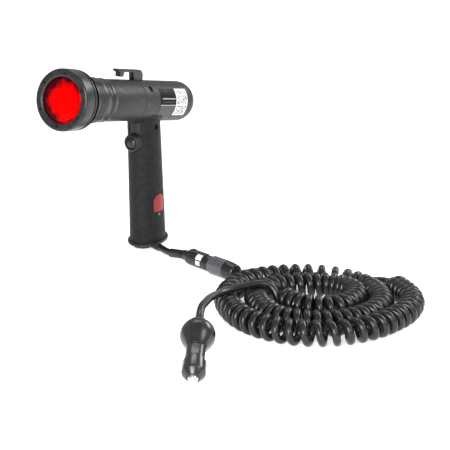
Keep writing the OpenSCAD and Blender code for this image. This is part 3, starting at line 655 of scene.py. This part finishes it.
def grip_column(k, fillet=4.2, rows=40):
    """Points up one line of the grip, with a fillet where it meets the barrel."""
    top = junction(k)
    meet = grip_point(k, top)
    foot = GRIP_Z0 + CAP_SLOPE * grip_point(k, GRIP_Z0).y
    column = [grip_point(k, foot + (top - fillet - foot) * i / rows) for i in range(rows + 1)]
    out = Vector((meet.x, meet.y + GRIP_LEAN * top, 0)).normalized()
    local = BARREL.inverted() @ meet
    normal = (BARREL.to_3x3() @ Vector((local.x, local.y, 0))).normalized()
    along = (out - normal * out.dot(normal)).normalized()
    far = BARREL.inverted() @ (meet + along * fillet)
    far = BARREL @ Vector((*(Vector((far.x, far.y)).normalized() * (TUBE_R - 0.05)), far.z))
    start = column[-1]
    for i in range(1, 8):
        t = i / 7
        column.append(start * (1 - t) ** 2 + meet * 2 * t * (1 - t) + far * t * t)
    column.append(Vector((meet.x * 0.8, meet.y * 0.8, AXIS_H - 4)))
    return column


def skin(name, inset0, inset1, width, z0, z1, material, steps=14):
    """A piece of the grip's front, between two depths under its surface."""
    rings = []
    for i in range(steps + 1):
        z = z0 + (z1 - z0) * i / steps
        ring = []
        for inset, sign in ((inset0, 1), (inset1, -1)):
            half = grip_half(z) - inset
            for k in range(steps + 1):
                x = sign * width * (k / steps - 0.5)
                y = -GRIP_LEAN * z - GRIP_RATIO * math.sqrt(half * half - x * x)
                ring.append((x, y, z))
        rings.append(ring)
    return loft(name, rings, material)


ARCH = (-4.2, 55, 7.3)


def button_outline(grow):
    y, z, r = ARCH[0], ARCH[1], ARCH[2] + grow
    arc = [(y + r * math.cos(math.radians(t)), z + r * math.sin(math.radians(t)))
           for t in range(0, 181, 10)]
    return [(y - r, 43 - grow), (y + r, 43 - grow), *arc]


# A frame whose X, Y and Z are the row's Y, Z and X.
SIDEWAYS = Matrix(((0, 0, 1, 0), (1, 0, 0, 0), (0, 1, 0, 0), (0, 0, 0, 1)))


def make_grip():
    columns = [grip_column(k) for k in range(SIDES)]
    rings = [[column[i] for column in columns] for i in range(len(columns[0]))]
    grip = loft("grip", rings, "grip")
    pocket = skin("pocket", -3, 1.75, 14.2, 130.4, 143.1, "rubber")
    button = prism("button_hole", button_outline(0.3), 12, 30, "grip", SIDEWAYS, 0)
    lamp = rod("lamp_hole", 1.65, 14, 30, "grip", along_x(-4.6, 39.3))
    screw = rod("screw_hole", 3.1, 11.5, 30, "grip", along_x(-5, 137))
    return cut(grip, pocket, button, lamp, screw)


def make_barrel_pieces():
    body = joined("housing", [make_barrel(), make_grip()])
    settle(body, ["housing_left", "housing_right"])
    heads = []
    for place in (along_x(13.9, 17.4, BARREL), along_x(13.8, -63, BARREL), along_x(-5, 137)):
        screw = rod("screw", 2.8, 11.5, 13.5, "black_steel", place, 0.4)
        slots = [box("slot", (-1.8, -0.35, 12.7), (1.8, 0.35, 15), "black_steel",
                     place @ Matrix.Rotation(turn, 4, "Z"), 0) for turn in (0, math.pi / 2)]
        heads.append(cut(screw, *slots))
    settle(joined("side_screws", heads), ["housing_screws"])


AT_CAP = Matrix.Translation((0, 0, 6.0)) @ Matrix.Rotation(math.atan(CAP_SLOPE), 4, "X")
FOOT = Matrix.Translation((-1.4, -8.2, 0))


def make_base():
    sections = [(0.0, 0.8), (0.25, 0.3), (0.7, 0.0), (2.5, 0.0), (2.95, 0.3), (3.2, 0.9)]
    rings = []
    for z, inset in sections:
        half = CAP_HALF - inset
        rings.append([(half * math.cos(2 * math.pi * k / SIDES),
                       half * GRIP_RATIO * math.sin(2 * math.pi * k / SIDES), z)
                      for k in range(SIDES)])
    cap = loft("cap", rings, "housing", AT_CAP)
    holes = [rod("hole", 3.1, -2, 2.2, "housing", AT_CAP @ Matrix.Translation((x, 11, 0)))
             for x in (-9, 9)]
    settle(cut(cap, *holes), ["base_cap"])
    foot = lathe("foot", [(0, 0), (9.6, 0), (10.15, 0.3), (10.4, 1), (10.4, 9), (0, 9)],
                 "dark_red", FOOT, 0.15)
    hole = rod("hole", 3.3, -1, 2, "dark_red", FOOT)
    top = box("top", (-40, -40, 0), (40, 40, 40), "dark_red", AT_CAP, 0)
    settle(cut(foot, hole, top), ["base_foot"])
    exit_frame = (Matrix.Translation(EXIT_POS) @ Matrix.Rotation(EXIT_TURN, 4, "Z")
                  @ Matrix.Rotation(math.pi / 2, 4, "Y"))
    ribs = []
    for i in range(4):
        a = 22.6 + 1.5 * i
        r = 4.4 - (a - 22) * 0.3 / 7
        ribs += [(r, a), (r - 0.3, a + 0.2), (r - 0.3, a + 0.6), (r - 0.05, a + 0.8)]
    settle(lathe("gland", [(0, 13), (4.1, 13), (4.4, 13.4), (4.4, 22), *ribs, (4.0, 29),
                           (0, 29)], "boot", exit_frame, 0.12, 48),
           ["cable_gland"])


# ---- Hook --------------------------------------------------------------------

# A frame whose X, Y and Z are the distance along the barrel, up and -X.
PROFILE = BARREL @ Matrix(((0, 0, -1, 0), (0, 1, 0, 0), (1, 0, 0, 0), (0, 0, 0, 1)))


def make_hook():
    r = TUBE_R
    corner = [(21 + 7 * math.cos(math.radians(t)), r + 4 + 7 * math.sin(math.radians(t)))
              for t in range(90, 181, 15)]
    hook = prism("hook_body", [
        (14, r - 0.4), (30.5, r - 0.4), (31.5, r + 3), (32.5, r + 7.8), (49, r + 7.8),
        (50.5, r + 3.6), (52, r + 2.8), (56, r + 2.8), (57, r + 3.6), (57, r + 7.6),
        (61, r + 8), (62, r + 8.8), (62, r + 10.2), (61, r + 11), *corner],
        -3.3, 3.3, "plastic", PROFILE, 0.45)
    ribs = [box("rib", (16.5 + 3.6 * i, r + 1, -3.55), (17.7 + 3.6 * i, r + 8.6, 3.55),
                "plastic", PROFILE, 0.2) for i in range(4)]
    settle(joined("hook_piece", [hook, *ribs]), ["hook"])


# ---- Labels ------------------------------------------------------------------

def bent_plate(name, a0, a1, t0, t1, low, high, material, base=BARREL, steps=16):
    """A plate bent round base's Z axis from angle t0 to t1, counted from +X towards +Y."""
    rings = []
    for i in range(steps + 1):
        t = math.radians(t0 + (t1 - t0) * i / steps)
        rings.append([(r * math.cos(t), r * math.sin(t), a)
                      for r, a in ((low, a0), (high, a0), (high, a1), (low, a1))])
    return loft(name, rings, material, base)


def make_labels():
    r0, r1, r2 = TUBE_R + 0.01, TUBE_R + 0.22, TUBE_R + 0.28
    settle(bent_plate("label", -27, 3, -5.5, 41.5, r0, r1, "film_black"), ["label_plate"])
    bars = [bent_plate("bar", -25.5, 0, 9.3, 12.8, r1, r2, "bar_grey")]
    for start, run in ((-23.5, 5.2), (-17.6, 3.4), (-13.4, 6), (-6.6, 3.6)):
        bars.append(bent_plate("bar", start, start + run, 0.5, 2.6, r1, r2, "film_grey"))
    settle(joined("label_bars", bars), [])
    strip = bent_plate("strip", -27, 3, -38, -6, r0, r1, "film_grey")
    line = bent_plate("line", -27, 3, -8.2, -6, r1, r2, "bar_grey")
    settle(joined("strip_piece", [strip, line]), ["label_strip"])
    settle(bent_plate("tag", -50.5, -27.6, -39, 42, r0, r1, "white"), ["tag_plate"])
    blocks = [bent_plate("print", -48.6, -29.6, t0, t1, r1, r2, "printed")
              for t0, t1 in ((-35, -8), (-4, 22), (26, 38))]
    settle(joined("tag_print", blocks), [])


# ---- Controls ----------------------------------------------------------------

FRONT = Matrix.Translation((0, FRONT_Y, TRIGGER_Z)) @ Matrix.Rotation(math.pi / 2, 4, "X")


def make_trigger():
    boot = lathe("boot", [
        (6.9, -10.4), (8.6, -10.4), (8.6, -3.4), (9.8, -3.4), (9.8, 3), (9.3, 5), (8.3, 6.2),
        (7.3, 6.5), (6.6, 6.2), (6.2, 5.6), (6.2, -1.6), (6.9, -1.6)], "boot", FRONT, 0.35)
    tongue = bevelled(skin("tongue", 0.7, 1.7, 14, 130.5, 143, "boot"), 0.3)
    settle(joined("trigger_boot_piece", [boot, tongue]), ["trigger_boot"])
    dome = [(6.1 * math.cos(math.radians(t)), 4.4 + 3.2 * math.sin(math.radians(t)))
            for t in range(0, 90, 9)]
    settle(lathe("button", [(0, -6.4), (6.8, -6.4), (6.8, -1.9), (6.1, -1.9), *dome, (0, 7.6)],
                 "plastic", FRONT, 0.0), ["trigger_button"], "trigger")


def make_side_button():
    outline = button_outline(0)
    flange = button_outline(0.9)
    face = prism("face", outline, 9.8, 24, "red", SIDEWAYS, 0)
    # The face follows the grip's side, as part of a cylinder.
    axis = Matrix.Translation((-2.7, -2.5, 0))
    outside = cut(rod("outside", 40, -10, 120, "red", axis, segments=256),
                  rod("inside", 22, -12, 122, "red", axis, segments=256))
    face = bevelled(cut(face, outside), 0.6)
    rim = prism("rim", flange, 9.8, 11.2, "dark_red", SIDEWAYS, 0)
    settle(joined("side_button_piece", [face, rim]), ["side_button"],
           "side_rocker")
    settle(rod("lamp_lens", 1.5, 12, 18.9, "lamp", along_x(-4.6, 39.3), 0.5),
           ["indicator_lens"])


# ---- In-line connector ---------------------------------------------------------

CONNECTOR = (Matrix.Translation(CONNECTOR_POS) @ Matrix.Rotation(CONNECTOR_TURN, 4, "Z")
             @ Matrix.Rotation(math.pi / 2, 4, "Y"))


SOCKET_END = 42.8
PLUG_HALF_START = 44
BACKSHELL_START = 66.5


def make_connector():
    start, end = Vector((46, -24.8, 5)), CONNECTOR_POS
    turn = (end - start).to_track_quat("Z", "Y").to_matrix().to_4x4()
    run = (end - start).length
    settle(lathe("sleeve", [(0, 0.3), (3.9, 0.3), (4.8, 1.6), (4.8, run - 1.4), (0, run - 1.4)],
                 "boot", Matrix.Translation(start) @ turn, 0.3, 48),
           ["pigtail_sleeve"])
    body = lathe("socket_body", [
        (0, 0), (5, 0), (5.6, 0.8), (5.6, 5), (7.6, 9), (8.2, 12), (8.4, 39.8),
        (7.9, SOCKET_END), (0, SOCKET_END)], "plastic", CONNECTOR, 0.4, 64)
    latch = [box("latch", (-9.5, -3, 12), (-5.6, 3, 17), "plastic", CONNECTOR, 0.5),
             box("rail", (-8.9, -3, 15), (-6, 3, 37), "plastic", CONNECTOR, 0.4)]
    settle(joined("connector_socket_piece", [body, *latch]), ["connector_socket"])
    patches = [bent_plate("patch", a0, a1, t0, t1, 8.28, 8.46, "white", CONNECTOR)
               for a0, a1, t0, t1 in ((26, 34.5, 200, 248), (27, 33.5, 256, 290))]
    settle(joined("connector_patch", patches), [])
    shell = lathe("plug_body", [
        (0, PLUG_HALF_START), (9.1, PLUG_HALF_START), (9.85, PLUG_HALF_START + 1),
        (9.85, BACKSHELL_START), (0, BACKSHELL_START)],
        "grey_plastic", CONNECTOR @ Matrix.Rotation(math.radians(22.5), 4, "Z"), 0, 8)
    settle(bevelled(shell, 0.4), ["connector_plug"])
    settle(lathe("backshell_piece", [
        (0, BACKSHELL_START), (9.2, BACKSHELL_START), (9.6, BACKSHELL_START + 0.6), (9.6, 70),
        (8.4, 79.6), (7.4, BACKSHELL_END), (0, BACKSHELL_END)],
        "plastic", CONNECTOR, 0.4, 64), ["connector_backshell"])


# ---- Vehicle plug --------------------------------------------------------------

PLUG = (Matrix.Translation(PLUG_POS) @ Matrix.Rotation(PLUG_TURN, 4, "Z")
        @ Matrix.Rotation(math.pi / 2 + PLUG_DROP, 4, "Y"))
# Distances along the plug from the cord's end, and radii about its axis.
PLUG_R = 10.45
NARROW_R = 8.9
BULGE_END = 38
SHELL_END = 53.8
NOSE_END = 72.5


def bulge(z):
    """Radius of the plug's bulge at that distance."""
    near = min(z, 12)
    half = BULGE_END / 2
    return (PLUG_R - 0.1 + 5.4 * math.sin(math.pi * z / BULGE_END) ** 2
            - 4.4 * math.cos(math.pi / 2 * near / 12) ** 2
            - (PLUG_R - 0.1 - NARROW_R) * (max(0, z - half) / half) ** 2)


def make_plug():
    outline = [(bulge(BULGE_END * i / 40), BULGE_END * i / 40) for i in range(41)]
    shell = lathe("plug_shell", [(0, 0), *outline, (NARROW_R, SHELL_END), (0, SHELL_END)],
                  "gloss", PLUG, 0, 96)
    slots = [box("slot", (-2.4, s * 11 - 3, 40.7), (2.4, s * 11 + 3, 53.3), "rubber", PLUG, 0)
             for s in (-1, 1)]
    panel = box("panel", (-30, -5, 39), (-NARROW_R + 0.8, 5, 50), "plastic", PLUG, 0.4)
    shell = cut(shell, panel, *slots)
    rings = []
    for i in range(25):
        z = 5 + 32 * i / 24
        high = bulge(z) + 0.5
        rings.append([(-math.sqrt(r * r - y * y), y, z)
                      for r, side in ((high, 1), (high - 2, -1))
                      for y in (side * (k - 5) for k in range(11))])
    strip = bevelled(loft("strip", rings, "plastic", PLUG), 0.25)
    settle(joined("plug_shell", [shell, strip]), ["plug_shell_upper", "plug_shell_lower"])
    settle(lathe("grommet", [(0, -4), (4.2, -4), (5, -0.6), (5, 0), (0, 0)], "rubber", PLUG,
                 0.3, 48), ["plug_grommet"])
    settle(lathe("nose", [
        (4.7, SHELL_END), (PLUG_R, SHELL_END), (PLUG_R, 66.4), (PLUG_R - 0.6, 67.4),
        (5.8, NOSE_END), (4.7, NOSE_END)], "gloss", PLUG, 0.4, 96),
        ["plug_nose"])
    settle(lathe("tip", [
        (3.6, 60), (5.4, 60), (5.4, 66.3), (4.6, 66.3), (4.6, 73.4), (4, 75), (2.8, 76.2),
        (1.6, 76.8), (0, 77), (0, 72), (3.6, 72)], "nickel", PLUG, 0.3, 64),
        ["plug_tip"], "tip")


# ---- CAD nodes that stay, stage and light ---------------------------------------

NODE_FINISH = {
    "clear_window": "window", "lens_seals": "rubber", "led_board": "led", "heat_sink": "alloy",
    "tube_o_ring": "rubber", "driver_board": "board", "driver_parts": "rubber",
    "led_leads": "wire", "hook_screws": "steel", "trigger_nut": "steel",
    "trigger_spring": "steel", "trigger_switch": "plastic", "side_spring": "steel",
    "side_switch": "plastic", "base_screws": "steel", "foot_screw": "steel",
    "wire_harness": "wire", "connector_seal": "rubber", "connector_pins": "brass",
    "plug_screw": "steel", "plug_tip_spring": "steel", "plug_fuse": "window",
    "plug_contact_left": "nickel", "plug_contact_right": "nickel",
}


def finish_nodes():
    for name, finish in NODE_FINISH.items():
        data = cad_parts[name].data
        data.materials.clear()
        data.materials.append(MATERIALS[finish])


def area_light(name, place, target, size, watts):
    data = bpy.data.lights.new(name, "AREA")
    data.shape = "RECTANGLE"
    data.size, data.size_y = (s * MM for s in size)
    data.energy = watts
    light = bpy.data.objects.new(name, data)
    SCENE.collection.objects.link(light)
    light.matrix_world = aim(place, target)


FLOOR_HALF = 12000


def make_stage():
    corners = [(x * FLOOR_HALF, y * FLOOR_HALF, 0) for x, y in ((-1, -1), (1, -1), (1, 1), (-1, 1))]
    floor = add_mesh("floor", corners, [(0, 1, 2, 3)], "white")
    paper = surface("paper", (0.93, 0.93, 0.93), 0.7, shift=0.01, glow=((1, 1, 1), 0.55))
    floor.data.materials[0] = paper
    world = bpy.data.worlds.new("studio")
    world.use_nodes = True
    world.node_tree.nodes["Background"].inputs["Color"].default_value = (1, 1, 1, 1)
    world.node_tree.nodes["Background"].inputs["Strength"].default_value = 0.5
    SCENE.world = world
    area_light("key", (650, -1750, 720), (80, -60, 80), (1000, 800), 40)
    area_light("side", (1500, -300, 900), (80, -60, 60), (700, 900), 9)
    area_light("rim", (700, 1250, 850), (40, -60, 140), (1000, 450), 11)
    area_light("top", (-300, 500, 1500), (40, -60, 140), (900, 500), 6)
    SCENE.view_settings.view_transform = "Standard"


make_head()
make_optics()
make_barrel_pieces()
make_base()
make_hook()
make_labels()
make_trigger()
make_side_button()
make_connector()
make_plug()
finish_nodes()
make_stage()
